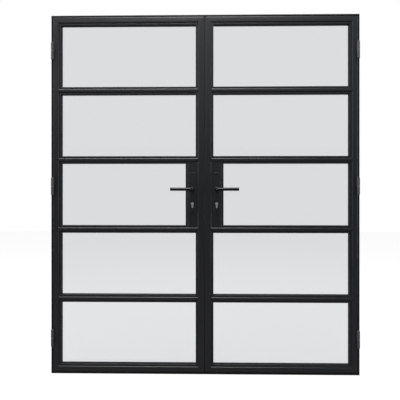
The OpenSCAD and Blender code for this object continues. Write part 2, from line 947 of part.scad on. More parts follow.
left_side() hinge_stile();  // left_hinge_stile
left_side() meeting_stile();  // left_meeting_stile
left_side() top_rail(true);  // left_top_rail
left_side() bottom_rail(true);  // left_bottom_rail
left_side() glazing_bars();  // left_glazing_bars
left_side() glazing_beads();  // left_glazing_beads
left_side() rear_stops();  // left_rear_stops
left_side() gaskets();  // left_gaskets
left_side() glass_panes();  // left_glass_panes
left_side() leaf_knuckles();  // left_hinge_knuckles
left_side() lock_box();  // left_lock_box
left_side() lock_case_passive();  // left_lock_case
left_side() strike_plate();  // left_strike_plate
left_side() cylinder_body();  // left_cylinder_body
left_side() cylinder_plug();  // left_cylinder_plug
left_side() lever_plate();  // left_plate_front
left_side() plate_rear();  // left_plate_rear
left_side() plate_screws();  // left_plate_screws
left_side() face_screws();  // left_face_screws
left_side() lever();  // left_lever_front
left_side() lever_rear();  // left_lever_rear
left_side() spindle();  // left_spindle
left_side() follower();  // left_follower
left_side() rod_top();  // left_rod_top
left_side() rod_bottom();  // left_rod_bottom

hinge_stile();  // right_hinge_stile
meeting_stile();  // right_meeting_stile
top_rail(false);  // right_top_rail
bottom_rail(false);  // right_bottom_rail
glazing_bars();  // right_glazing_bars
glazing_beads();  // right_glazing_beads
rear_stops();  // right_rear_stops
gaskets();  // right_gaskets
glass_panes();  // right_glass_panes
leaf_knuckles();  // right_hinge_knuckles
lock_box();  // right_lock_box
lock_case_active();  // right_lock_case
faceplate();  // right_faceplate
cylinder_body();  // right_cylinder_body
cylinder_plug();  // right_cylinder_plug
lever_plate();  // right_plate_front
plate_rear();  // right_plate_rear
plate_screws();  // right_plate_screws
face_screws();  // right_face_screws
lever();  // right_lever_front
lever_rear();  // right_lever_rear
spindle();  // right_spindle
follower();  // right_follower
latch_bolt();  // right_latch_bolt
dead_bolt();  // right_dead_bolt
meeting_seal();  // right_meeting_seal
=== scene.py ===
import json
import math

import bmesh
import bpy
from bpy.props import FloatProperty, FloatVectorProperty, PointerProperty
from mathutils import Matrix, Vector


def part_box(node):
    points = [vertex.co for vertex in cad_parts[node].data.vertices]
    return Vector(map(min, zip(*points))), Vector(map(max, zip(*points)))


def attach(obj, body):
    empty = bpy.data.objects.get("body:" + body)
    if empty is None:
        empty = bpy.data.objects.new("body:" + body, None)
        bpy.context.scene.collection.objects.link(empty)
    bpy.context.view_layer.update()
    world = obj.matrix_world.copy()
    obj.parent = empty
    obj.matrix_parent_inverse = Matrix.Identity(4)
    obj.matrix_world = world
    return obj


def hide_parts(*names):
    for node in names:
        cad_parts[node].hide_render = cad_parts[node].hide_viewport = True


bl_info = {
    "name": "Steel French Doors",
    "version": (1, 0, 0),
    "blender": (4, 5, 0),
    "location": "View3D > Sidebar > Doors",
    "description": "Dresses a pair of slim steel french doors in their frame and lights them",
    "category": "Object",
}

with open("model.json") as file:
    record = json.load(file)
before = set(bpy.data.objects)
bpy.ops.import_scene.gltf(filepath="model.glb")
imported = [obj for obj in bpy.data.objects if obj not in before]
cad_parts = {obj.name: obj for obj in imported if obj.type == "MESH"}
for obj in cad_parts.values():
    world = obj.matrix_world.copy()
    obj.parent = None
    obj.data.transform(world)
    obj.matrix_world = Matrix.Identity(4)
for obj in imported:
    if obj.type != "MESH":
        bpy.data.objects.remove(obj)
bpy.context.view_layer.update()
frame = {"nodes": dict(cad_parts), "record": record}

SIDES = {"left": -1, "right": 1}
FACES = {"front": -1, "rear": 1}
# How far a cutter stands out of what it cuts
PAST = 0.001
# Play of the pieces in their holes and slots, and of the collars over the plates
PLAY = 0.0003

# Size, place and target of each lamp
LAMPS = {
    "key_lamp": ((4.5, 2.8), (-0.9, -1.1, 5.0), (-0.3, -0.4, 0.0)),
    "front_lamp": ((6.5, 3.4), (-0.3, -3.6, 3.3), (0.0, 0.0, 1.5)),
    "left_lamp": ((1.0, 3.4), (-3.2, -0.57, 1.8), (0.0, 0.0, 1.4)),
    "right_lamp": ((1.0, 3.4), (3.2, -0.57, 1.8), (0.0, 0.0, 1.4)),
    "rear_lamp": ((2.4, 2.4), (1.0, 3.2, 3.6), (0.0, 0.0, 1.1)),
}


class Value:
    """A socket that takes part in Python arithmetic by adding Math nodes."""

    def __init__(self, nodes, socket):
        self.nodes = nodes
        self.socket = socket

    def _math(self, operation, other):
        return self.nodes.node("ShaderNodeMath", {"operation": operation}, {0: self, 1: other})

    def __add__(self, other):
        return self._math("ADD", other)

    def __mul__(self, other):
        return self._math("MULTIPLY", other)

    def __lt__(self, other):
        return self._math("LESS_THAN", other)


class Nodes:
    """Adds nodes to a tree: the settings first, then the values or links of the sockets."""

    def __init__(self, tree):
        self.tree = tree
        tree.nodes.clear()

    def plug(self, socket, value):
        if isinstance(value, Value):
            self.tree.links.new(value.socket, socket)
        else:
            socket.default_value = value

    def node(self, kind, settings=None, sockets=None, output=0):
        node = self.tree.nodes.new(kind)
        for name, value in (settings or {}).items():
            setattr(node, name, value)
        for name, value in (sockets or {}).items():
            self.plug(node.inputs[name], value)
        return Value(self, node.outputs[output]) if len(node.outputs) else node

    def mix(self, factor, first, second):
        """Mix of two colours, which a Mix node takes in at 6 and 7 and gives out at 2."""
        return self.node("ShaderNodeMix", {"data_type": "RGBA"},
                         {0: factor, 6: first, 7: second}, 2)

    def tones(self, factor, colour, darkest, lightest):
        """Tones of one colour, from the darkest share of it to the lightest."""
        return self.mix(factor, shade(colour, darkest), shade(colour, lightest))

    def noise(self, where, scale, detail=2.0, roughness=0.5):
        return self.node("ShaderNodeTexNoise", None, {
            "Vector": where, "Scale": scale, "Detail": detail, "Roughness": roughness})

    def stretched(self, where, scale):
        """Coordinates drawn out along an axis, for brushed and drawn metal."""
        return self.node("ShaderNodeVectorMath", {"operation": "MULTIPLY"}, {0: where, 1: scale})

    def light_path(self, output):
        return self.node("ShaderNodeLightPath", None, None, output)


class Finish(Nodes):
    """A material whose Principled shader takes numbers, colours and links by socket name."""

    def __init__(self, name):
        self.material = bpy.data.materials.new(name)
        self.material.use_nodes = True
        super().__init__(self.material.node_tree)
        self.place = self.node("ShaderNodeTexCoord", None, None, "Object")

    def bump(self, height, strength, distance):
        return self.node("ShaderNodeBump", None, {
            "Height": height, "Strength": strength, "Distance": distance})

    def surface(self, sockets):
        shader = self.node("ShaderNodeBsdfPrincipled", None, sockets)
        self.node("ShaderNodeOutputMaterial", None, {"Surface": shader})
        return self.material


def shade(colour, factor):
    return tuple(min(part * factor, 1.0) for part in colour[:3]) + (1.0,)


def coated(name, colour, roughness, gloss, grain):
    """Powder coat: a fine orange peel over slow changes of tone and gloss."""
    finish = Finish(name)
    slow = finish.noise(finish.place, scale=5.0, detail=3.0)
    peel = finish.noise(finish.place, scale=620.0)
    speck = finish.noise(finish.place, scale=1700.0, detail=1.0)
    spread = 0.08
    return finish.surface({
        "Base Color": finish.tones(slow * 0.7 + speck * 0.3, colour, 0.8, 1.2),
        "Roughness": (slow + peel) * spread + (roughness - spread),
        "Specular IOR Level": gloss,
        "Normal": finish.bump(peel * 0.7 + speck * 0.3, strength=grain, distance=0.0002),
    })


def metal(name, colour, roughness, draw, scale):
    """Bare or plated metal with fine lines along one axis."""
    finish = Finish(name)
    lines = finish.noise(finish.stretched(finish.place, draw), scale, detail=3.0, roughness=0.6)
    cloud = finish.noise(finish.place, scale=40.0)
    line_spread, cloud_spread = 0.14, 0.06
    least = roughness - (line_spread + cloud_spread) / 2
    return finish.surface({
        "Base Color": finish.tones(lines * 0.6 + cloud * 0.4, colour, 0.84, 1.1),
        "Metallic": 1.0,
        "Roughness": lines * line_spread + cloud * cloud_spread + least,
        "Normal": finish.bump(lines, strength=0.12, distance=0.0001),
    })


def rubber(name, colour):
    """Matt rubber with a fine skin."""
    finish = Finish(name)
    skin = finish.noise(finish.place, scale=380.0, detail=3.0)
    spread, least = 0.15, 0.62
    return finish.surface({
        "Base Color": finish.tones(skin, colour, 0.75, 1.3),
        "Roughness": skin * spread + least,
        "Specular IOR Level": 0.3,
        "Normal": finish.bump(skin, strength=0.2, distance=0.0002),
    })


def clear_glass(name, colour):
    """Toned float glass, with a faint waviness and a film that is not quite even."""
    finish = Finish(name)
    wave = finish.noise(finish.place, scale=3.0, detail=1.0)
    film = finish.noise(finish.place, scale=9.0, detail=4.0)
    return finish.surface({
        "Base Color": finish.tones(film, colour, 0.997, 1.003),
        "Roughness": film * 0.01,
        "IOR": 1.5,
        "Transmission Weight": 1.0,
        "Normal": finish.bump(wave, strength=0.05, distance=0.0005),
    })


def smooth_shading(mesh_data, sharp_deg=32.0):
    """Smooth faces, with sharp edges over the given angle."""
    for face in mesh_data.faces:
        face.smooth = True
    for edge in mesh_data.edges:
        edge.smooth = (len(edge.link_faces) != 2
                       or edge.calc_face_angle() < math.radians(sharp_deg))


def mesh_object(name, mesh_data, material):
    """Object of a bmesh."""
    bmesh.ops.recalc_face_normals(mesh_data, faces=mesh_data.faces)
    smooth_shading(mesh_data)
    mesh = bpy.data.meshes.new(name)
    mesh_data.to_mesh(mesh)
    mesh_data.free()
    mesh.materials.append(material)
    thing = bpy.data.objects.new(name, mesh)
    bpy.context.scene.collection.objects.link(thing)
    return thing


def settle(thing, body, slot, *nodes):
    """Lets a piece ride on its body and stand for its CAD nodes, which it hides; the slot is not
    used.
    """
    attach(thing, body)
    if nodes:
        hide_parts(*nodes)


def arc(start, end, steps):
    """Angles from start to end, both of them counted."""
    return [start + (end - start) * i / steps for i in range(steps + 1)]


def rounding(radius, steps=8):
    """Points round an edge as (inset, shortfall), from the side it starts on to the end face."""
    return [(radius * (1 - math.cos(a)), radius * (1 - math.sin(a)))
            for a in arc(0, math.pi / 2, steps)]


def middle(box, axis):
    return (box[0][axis] + box[1][axis]) / 2


def half_size(box, axis):
    return (box[1][axis] - box[0][axis]) / 2


def rounded_outline(x0, x1, y0, y1, near, far, steps=8):
    """Closed outline of a rectangle with a corner radius near x0 and another one near x1."""
    points = []
    for cx, cy, r, turn in ((x1 - far, y1 - far, far, 0), (x0 + near, y1 - near, near, 1),
                            (x0 + near, y0 + near, near, 2), (x1 - far, y0 + far, far, 3)):
        points += [(cx + r * math.cos(a), cy + r * math.sin(a))
                   for a in arc(math.pi / 2 * turn, math.pi / 2 * (turn + 1), steps)]
    return points


def bridge(mesh_data, low, high):
    """Faces between two rings with as many points each."""
    for i in range(len(low)):
        j = (i + 1) % len(low)
        mesh_data.faces.new((low[i], low[j], high[j], high[i]))


def skin(mesh_data, rings):
    """Closed solid over a row of rings."""
    for low, high in zip(rings, rings[1:]):
        bridge(mesh_data, low, high)
    mesh_data.faces.new(rings[0])
    mesh_data.faces.new(rings[-1])


def strip(mesh_data, loops, run, joint, place, slopes=(1.0, 1.0)):
    """Sweeps an outer and an inner outline along a run, with mitred or square ends.

    slopes says how fast each end draws in, 1 at 45 degrees and 0 where it is square,
    and place turns (along, across, depth) into a point of the row.
    """
    rings = []
    for outline in loops:
        start, end = [], []
        for across, depth in outline:
            start.append(mesh_data.verts.new(
                place(joint + slopes[0] * across, across, depth)))
            end.append(mesh_data.verts.new(
                place(run - joint - slopes[1] * across, across, depth)))
        bridge(mesh_data, start, end)
        rings.append((start, end))
    (outer_start, outer_end), (inner_start, inner_end) = rings
    bridge(mesh_data, outer_start, inner_start)
    bridge(mesh_data, outer_end, inner_end)


def tube_loops(width, y0, y1, near, far, wall, steps=8):
    """Outer and inner outline of a tube with a corner radius for each of its two sides."""
    least = 0.0005
    return (rounded_outline(0, width, y0, y1, near, far, steps),
            rounded_outline(wall, width - wall, y0 + wall, y1 - wall,
                            max(near - wall, least), max(far - wall, least), steps))


def four_sides(mesh_data, near_data, loops, near, x0, x1, z0, z1, joint, side):
    """Four mitred strips round a rectangle, on the right leaf or mirrored onto the left one.

    The strip at x0 goes into near_data, with near as its section.
    """
    w, h = x1 - x0, z1 - z0
    face = max(across for across, _ in loops[0])
    near_face = max(across for across, _ in near[0])
    ends = (near_face / face, 1.0)
    strip(mesh_data, loops, w, joint, lambda s, a, d: (side * (x0 + s), d, z0 + a), ends)
    strip(mesh_data, loops, w, joint, lambda s, a, d: (side * (x0 + s), d, z1 - a), ends)
    strip(mesh_data, loops, h, joint, lambda s, a, d: (side * (x1 - a), d, z0 + s))
    ends = (face / near_face, face / near_face)
    strip(near_data, near, h, joint, lambda s, a, d: (side * (x0 + a), d, z0 + s), ends)


def prism(mesh_data, outline, place_low, place_high):
    """Closed prism between two copies of an outline."""
    skin(mesh_data, [[mesh_data.verts.new(place(*point)) for point in outline]
                     for place in (place_low, place_high)])


def block(mesh_data, x0, x1, y0, y1, z0, z1):
    prism(mesh_data, [(x0, y0), (x1, y0), (x1, y1), (x0, y1)],
          lambda x, y: (x, y, z0), lambda x, y: (x, y, z1))


def turned(mesh_data, profile, centre, steps=48, axis="Z"):
    """Solid turned from (radius, height) points about Z or Y, with a flat face at open ends."""
    rings = []
    for radius, height in profile:
        ring = []
        count = 1 if radius == 0 else steps
        for i in range(count):
            angle = 2 * math.pi * i / steps
            a, b = radius * math.cos(angle), radius * math.sin(angle)
            point = (a, b, height) if axis == "Z" else (a, height, b)
            ring.append(mesh_data.verts.new(Vector(centre) + Vector(point)))
        rings.append(ring)
    for low, high in zip(rings, rings[1:]):
        for i in range(steps):
            j = (i + 1) % steps
            corners = []
            for vert in (low[i % len(low)], low[j % len(low)],
                         high[j % len(high)], high[i % len(high)]):
                if vert not in corners:
                    corners.append(vert)
            if len(corners) > 2:
                mesh_data.faces.new(corners)
    for ring in (rings[0], rings[-1]):
        if len(ring) > 1:
            mesh_data.faces.new(ring)


def swept(mesh_data, stations, place, steps=48):
    """Solid swept through (u, v, turn, radius) stations of a level path.

    turn is the angle of the path from v towards u, and place turns (u, v, height) into a point.
    """
    rings = []
    for u, v, turn, radius in stations:
        ring = []
        for i in range(steps):
            angle = 2 * math.pi * i / steps
            across, height = radius * math.cos(angle), radius * math.sin(angle)
            ring.append(mesh_data.verts.new(
                place(u + across * math.cos(turn), v - across * math.sin(turn), height)))
        rings.append(ring)
    skin(mesh_data, rings)


def carve(thing, cutter_data):
    """Cuts a closed mesh out of a piece."""
    bmesh.ops.recalc_face_normals(cutter_data, faces=cutter_data.faces)
    mesh = bpy.data.meshes.new("cutter")
    cutter_data.to_mesh(mesh)
    cutter_data.free()
    cutter = bpy.data.objects.new("cutter", mesh)
    bpy.context.scene.collection.objects.link(cutter)
    modifier = thing.modifiers.new("carve", "BOOLEAN")
    modifier.operation = "DIFFERENCE"
    modifier.solver = "EXACT"
    modifier.object = cutter
    graph = bpy.context.evaluated_depsgraph_get()
    carved = bpy.data.meshes.new_from_object(thing.evaluated_get(graph))
    rims = bmesh.new()
    rims.from_mesh(carved)
    smooth_shading(rims)
    rims.to_mesh(carved)
    rims.free()
    thing.modifiers.clear()
    thing.data = carved
    bpy.data.objects.remove(cutter)


def length(name, default, description):
    return FloatProperty(name=name, description=description, default=default, unit="LENGTH")


def lengths(name, default, description):
    return FloatVectorProperty(name=name, description=description, default=default,
                               size=len(default), unit="LENGTH")


def power(name, default, description):
    return FloatProperty(name=name, description=description, default=default, unit="POWER")


def share(name, default, description):
    return FloatProperty(name=name, description=description, default=default,
                         min=0.0, max=1.0, subtype="FACTOR")


def tint(name, default, description):
    return FloatVectorProperty(name=name, description=description, default=default,
                               subtype="COLOR")


class DoorSizes(bpy.types.PropertyGroup):
    """Sizes that the dressed pieces share with the solids."""
    member: length("Member", 0.0345, "Face width of the rails and the hinge stiles")
    meeting: length("Meeting stile", 0.038, "Face width of the meeting stiles")
    bar: length("Bar", 0.020, "Face width of the glazing bars")
    depth: length("Leaf depth", 0.050, "Depth of the leaf, front to back")
    wall: length("Wall", 0.002, "Wall of the steel tubes")
    corner: length("Corner", 0.005, "Outer corner radius of the tubes")
    meeting_corner: length("Meeting corner", 0.001, "Corner radius along the meeting edge")
    bead: length("Bead", 0.012, "Face width of the glazing beads")
    bead_wall: length("Bead wall", 0.0015, "Wall of the beads")
    bead_corner: length("Bead corner", 0.0015, "Outer corner radius of the beads")
    bead_joint: length("Bead joint", 0.00015, "Half of the open mitre joint of the beads")
    face_recess: length("Face recess", 0.003, "Depth of the faceplates' recess")
    lever: length("Lever", 0.0185, "Diameter of the levers")
    lever_bend: length("Lever bend", 0.0115, "Bend radius on the levers' centre line")
    lever_edge: length("Lever edge", 0.002, "Edge radius at the end of the levers")
    collar: length("Collar", 0.008, "Length of the collar at the foot of the levers")
    collar_edge: length("Collar edge", 0.003, "Radius over the edge of the collars")
    cylinder_tail: length("Cylinder tail", 0.010, "Width of the key cylinder's tail")
    plate_corner: length("Plate corner", 0.005, "Corner radius of the lever plates")
    plate_edge: length("Plate edge", 0.0007, "Radius along the edge of the lever plates")
    hinge_heights: lengths("Hinge heights", (0.210, 1.098, 1.890), "Middles of the hinges")
    barrel: length("Barrel", 0.008, "Radius of the hinge barrels")
    barrel_edge: length("Barrel edge", 0.004, "Edge radius at the closed ends of the barrels")
    frame_lug: lengths("Frame lug", (0.0027, 0.0078),
                       "Inner and outer side of the frame's weld lugs, from the pins' axis")
    leaf_lug: lengths("Leaf lug", (-0.0078, -0.005),
                      "Inner and outer side of the leaf's weld lugs, from the pins' axis")


class DoorFinishes(bpy.types.PropertyGroup):
    """Colours of the doors."""
    coat: tint("Coat", (0.0104, 0.0111, 0.0124), "Powder coat of the frame and the leaves")
    coat_roughness: share("Coat roughness", 0.34, "Roughness of the powder coat")
    fittings: tint("Fittings", (0.003, 0.003, 0.0032),
                   "Smooth coat of the levers and plate screws")
    hinges: tint("Hinges", (0.080, 0.080, 0.083), "Coat of the hinge barrels")
    nickel: tint("Nickel", (0.8, 0.8, 0.79), "Cylinders, bolts and their plates")
    zinc: tint("Zinc", (0.48, 0.49, 0.5), "Plated steel of the hidden hardware")
    brass: tint("Brass", (0.7, 0.52, 0.26), "Followers")
    rubber: tint("Rubber", (0.012, 0.012, 0.012), "Seals and gaskets")
    glass: tint("Glass", (0.756, 0.767, 0.779), "Tone of the glass")


class DoorStage(bpy.types.PropertyGroup):
    """Camera, lamps and floor."""
    camera_place: lengths("Camera", (0.0163, -2.6, 1.0709), "Place of the camera")
    camera_turn: FloatProperty(name="Turn", description="Turn of the camera about the vertical",
                               default=0.0167, unit="ROTATION")
    lens: FloatProperty(name="Lens", description="Focal length in millimetres", default=39.67)
    rise: FloatProperty(name="Rise", description="Vertical shift of the lens", default=-0.0226)
    key_power: power("Key lamp", 290.0, "Power of the lamp high over the front")
    front_power: power("Front lamp", 13.0, "Power of the soft lamp before the doors")
    side_power: power("Side lamps", 40.0, "Power of each lamp beside the doors")
    rear_power: power("Rear lamp", 60.0, "Power of the lamp behind the doors")
    sky: tint("Sky", (0.060, 0.071, 0.091), "Colour of the even light all round")
    floor: tint("Floor", (0.9, 0.9, 0.9), "Colour of the floor")
    bounce: tint("Bounce", (0.12, 0.12, 0.12), "Colour of the floor in what it throws back")
    floor_reach: length("Floor reach", 9.0, "Distance from the doors to the floor's edges")
    glow: FloatProperty(name="Glow", description="Brightness of the plain white floor",
                        default=1.08)
    plain_share: share("Plain share", 0.88, "How much of the seen floor is plain white")
    mirror_share: share("Mirror share", 0.04, "How much of the white shows in reflections")


def sizes():
    return bpy.context.scene.door_sizes


MATERIALS = {}


def material_of(slot):
    """The finish of a material slot, made the first time it is asked for."""
    if slot not in MATERIALS:
        f = bpy.context.scene.door_finishes
        makers = {
            "black_coat": lambda: coated(slot, f.coat, f.coat_roughness, gloss=0.8, grain=0.18),
            "black_fittings": lambda: coated(slot, f.fittings, 0.24, gloss=0.44, grain=0.05),
            "hinge_coat": lambda: coated(slot, f.hinges, 0.36, gloss=0.5, grain=0.1),
            "satin_nickel": lambda: metal(slot, f.nickel, 0.46, draw=(1, 1, 12), scale=260.0),
            "zinc_steel": lambda: metal(slot, f.zinc, 0.4, draw=(1, 1, 1), scale=180.0),
            "turned_brass": lambda: metal(slot, f.brass, 0.3, draw=(1, 14, 1), scale=300.0),
            "seal_rubber": lambda: rubber(slot, f.rubber),
            "pane_glass": lambda: clear_glass(slot, f.glass),
        }
        MATERIALS[slot] = makers[slot]()
    return MATERIALS[slot]


def rows_of(side_name):
    """Openings of one leaf's panes as (x0, x1, z0, z1), on the right leaf's side."""
    s = sizes()
    low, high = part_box(side_name + "_top_rail")
    top = high[2]
    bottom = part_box(side_name + "_bottom_rail")[0][2]
    x0, x1 = sorted((abs(low[0]), abs(high[0])))
    x0, x1 = x0 + s.meeting, x1 - s.member
    z0, z1 = bottom + s.member, top - s.member
    count = 5
    height = (z1 - z0 - (count - 1) * s.bar) / count
    box_low, box_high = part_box(side_name + "_lock_box")
    lock_x1 = max(abs(box_low[0]), abs(box_high[0]))
    rows = []
    for i in range(count):
        z = z0 + i * (height + s.bar)
        rows.append((lock_x1 if i == count // 2 else x0, x1, z, z + height))
    return rows


class DOORS_OT_finishes(bpy.types.Operator):
    """Give every solid of the doors the finish of its material slot"""
    bl_idname = "doors.finishes"
    bl_label = "Finish the solids"

    def execute(self, context):
        slots = {part["node"]: part["material_slot"] for part in frame["record"]["subparts"]}
        for name, solid in frame["nodes"].items():
            material = material_of(slots[name])
            if not solid.material_slots:
                solid.data.materials.append(material)
            for slot in solid.material_slots:
                slot.material = material
        return {"FINISHED"}


class DOORS_OT_tubes(bpy.types.Operator):
    """Make the welded tubes and the glazing bars of both leaves"""
    bl_idname = "doors.tubes"
    bl_label = "Tubes"

    def execute(self, context):
        s = sizes()
        half = s.depth / 2
        coat = material_of("black_coat")
        member = tube_loops(s.member, -half, half, s.corner, s.corner, s.wall)
        meeting = tube_loops(s.meeting, -half, half, s.meeting_corner, s.corner, s.wall)
        bar = tube_loops(s.bar, -half, half, s.corner, s.corner, s.wall)
        for name, side in SIDES.items():
            body = name + "_leaf"
            rows = rows_of(name)
            x0, x1 = rows[0][0] - s.meeting, rows[0][1] + s.member
            z0, z1 = rows[0][2] - s.member, rows[-1][3] + s.member
            data, near_data = bmesh.new(), bmesh.new()
            four_sides(data, near_data, member, meeting, x0, x1, z0, z1, 0.0, side)
            tubes = mesh_object(name + "_tubes", data, coat)
            near_tube = mesh_object(name + "_near_tube", near_data, coat)
            self.lock_cuts(near_tube, name, side, x0)
            if side < 0:
                self.rod_cuts(tubes, name, z0, z1)
            settle(tubes, body, "black_coat", name + "_hinge_stile",
                   name + "_top_rail", name + "_bottom_rail")
            settle(near_tube, body, "black_coat", name + "_meeting_stile")
            data = bmesh.new()
            for row in rows[:-1]:
                strip(data, bar, rows[0][1] - rows[0][0], 0.0,
                      lambda a, c, d, z=row[3]: (side * (rows[0][0] + a), d, z + c), (0.0, 0.0))
            bars = mesh_object(name + "_bars", data, coat)
            settle(bars, body, "black_coat", name + "_glazing_bars")
        return {"FINISHED"}

    def lock_cuts(self, tube, name, side, x0):
        """Recess of the faceplate and slot of the lock case"""
        s = sizes()
        play = 0.0002
        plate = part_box(name + ("_strike_plate" if side < 0 else "_faceplate"))
        r = half_size(plate, 1) + play
        low, high = plate[0][2] - play, plate[1][2] + play
        outline = [(r * math.cos(a), high - r + r * math.sin(a)) for a in arc(0, math.pi, 24)]
        outline += [(-r * math.cos(a), low + r - r * math.sin(a)) for a in arc(0, math.pi, 24)]
        data = bmesh.new()
        prism(data, outline, lambda y, z: (side * (x0 - PAST), y, z),
              lambda y, z: (side * (x0 + s.face_recess), y, z))
        low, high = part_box(name + "_lock_case")
        inner = x0 + s.meeting
        block(data, side * (inner - s.wall - PAST), side * (inner + PAST),
              low[1] - PLAY, high[1] + PLAY, low[2] - PLAY, high[2] + PLAY)
        carve(tube, data)

    def rod_cuts(self, tubes, name, z0, z1):
        """Holes of the shoot rods"""
        reach = sizes().wall + PAST
        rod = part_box(name + "_rod_top")
        hole = half_size(rod, 0) + PLAY
        data = bmesh.new()
        for z in (z0, z1):
            turned(data, [(hole, -reach), (hole, reach)], (middle(rod, 0), 0, z))
        carve(tubes, data)


class DOORS_OT_beads(bpy.types.Operator):
    """Make the mitred glazing beads of both leaves"""
    bl_idname = "doors.beads"
    bl_label = "Glazing beads"

    def execute(self, context):
        s = sizes()
        for name, side in SIDES.items():
            low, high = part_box(name + "_glazing_beads")
            loops = tube_loops(s.bead, low[1], high[1], s.bead_corner, s.bead_corner,
                               s.bead_wall, steps=5)
            data = bmesh.new()
            for x0, x1, z0, z1 in rows_of(name):
                four_sides(data, data, loops, loops, x0, x1, z0, z1, s.bead_joint, side)
            beads = mesh_object(name + "_beads", data, material_of("black_coat"))
            settle(beads, name + "_leaf", "black_coat", name + "_glazing_beads")
        return {"FINISHED"}


class DOORS_OT_plates(bpy.types.Operator):
    """Make the lever plates with their rounded edges, keyholes and screw sinks"""
    bl_idname = "doors.plates"
    bl_label = "Lever plates"

    def execute(self, context):
        for name in SIDES:
            for face, turn in FACES.items():
                node = name + "_plate_" + face
                low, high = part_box(node)
                data = bmesh.new()
                self.plate(data, low, high, turn)
                plate = mesh_object(name + "_" + face + "_lever_plate", data,
                                    material_of("black_coat"))
                self.holes(plate, name, low, high, turn)
                settle(plate, name + "_leaf", "black_coat", node)
        return {"FINISHED"}

    def plate(self, data, low, high, turn):
        """Plate with round corners, whose outer edge is rounded over"""
        s = sizes()
        flat_start = 0.0003
        inner, outer = (high[1], low[1]) if turn < 0 else (low[1], high[1])
        levels = [(0.0, inner)]
        levels += [(inset, outer - turn * short) for inset, short in rounding(s.plate_edge, 6)]
        levels.append((s.plate_edge + flat_start, outer))
        rings = []
        for inset, y in levels:
            r = s.plate_corner - inset
            outline = rounded_outline(low[0] + inset, high[0] - inset,
                                      low[2] + inset, high[2] - inset, r, r)
            rings.append([data.verts.new((x, y, z)) for x, z in outline])
        skin(data, rings)

    def holes(self, plate, name, low, high, turn):
        """Bore of the lever, hole of the key cylinder and sinks of the screws"""
        s = sizes()
        x = middle((low, high), 0)
        y0, y1 = low[1] - PAST, high[1] + PAST
        data = bmesh.new()
        bore = s.lever / 2 + PLAY
        turned(data, [(bore, y0), (bore, y1)],
               (x, 0, middle(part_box(name + "_lever_front"), 2)), axis="Y")
        self.keyhole(data, x, y0, y1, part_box(name + "_cylinder_body"))
        outer = low[1] if turn < 0 else high[1]
        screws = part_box(name + "_plate_screws")
        head = half_size(screws, 0)
        shank = head / 2 + PLAY
        for z in (screws[0][2] + head, screws[1][2] - head):
            turned(data, [(head, outer + turn * PAST), (head, outer),
                          (shank, outer - turn * head / 2),
                          (shank, outer - turn * (high[1] - low[1] + PAST))],
                   (x, 0, z), 32, "Y")
        carve(plate, data)

    def keyhole(self, data, x, y0, y1, body):
        """Round hole with a narrower tail below, for a euro profile cylinder"""
        r = half_size(body, 0) + PLAY
        tail = sizes().cylinder_tail / 2 + PLAY
        axis_z = body[1][2] + PLAY - r
        foot_z = body[0][2] - PLAY + tail
        opening = math.asin(tail / r)
        outline = [(x + r * math.sin(a), axis_z - r * math.cos(a))
                   for a in arc(opening, 2 * math.pi - opening, 40)]
        outline += [(x - tail * math.cos(a), foot_z - tail * math.sin(a))
                    for a in arc(0, math.pi, 16)]
        prism(data, outline, lambda a, z: (a, y0, z), lambda a, z: (a, y1, z))


class DOORS_OT_levers(bpy.types.Operator):
    """Make the bent levers with their collars and the square holes of the spindles"""
    bl_idname = "doors.levers"
    bl_label = "Levers"

    def execute(self, context):
        play = 0.0001
        for name, side in SIDES.items():
            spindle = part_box(name + "_spindle")
            x, z = middle(spindle, 0), middle(spindle, 2)
            half = half_size(spindle, 2) + play
            for face, turn in FACES.items():
                node = name + "_lever_" + face
                data = bmesh.new()
                swept(data, self.stations(name, face, node, abs(x)),
                      lambda u, v, height: (x + side * u, turn * v, z + height))
                lever = mesh_object(name + "_" + face + "_handle", data,
                                    material_of("black_fittings"))
                data = bmesh.new()
                block(data, x - half, x + half, spindle[0][1] - play, spindle[1][1] + play,
                      z - half, z + half)
                carve(lever, data)
                settle(lever, name + "_handle", "black_fittings", node)
        return {"FINISHED"}

    def stations(self, name, face, node, spindle_x):
        """Stations from the neck over the collar and the bend to the end of the grip"""
        s = sizes()
        r = s.lever / 2
        low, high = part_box(node)
        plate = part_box(name + "_plate_" + face)
        neck = min(abs(low[1]), abs(high[1]))
        grip = max(abs(low[1]), abs(high[1])) - r
        end = max(abs(low[0]), abs(high[0])) - spindle_x
        collar_r = half_size((low, high), 2)
        foot = max(abs(plate[0][1]), abs(plate[1][1])) + PLAY
        top = foot + s.collar
        stations = [(0, neck, 0, r), (0, foot, 0, r), (0, foot, 0, collar_r)]
        stations += [(0, top - short, 0, collar_r - inset)
                     for inset, short in rounding(s.collar_edge)]
        stations.append((0, top, 0, r))
        stations += [(inset, grip - short, a, r) for a, (inset, short) in
                     zip(arc(0, math.pi / 2, 8), rounding(s.lever_bend))]
        stations += [(end - short, grip, math.pi / 2, r - inset)
                     for inset, short in rounding(s.lever_edge)]
        return stations


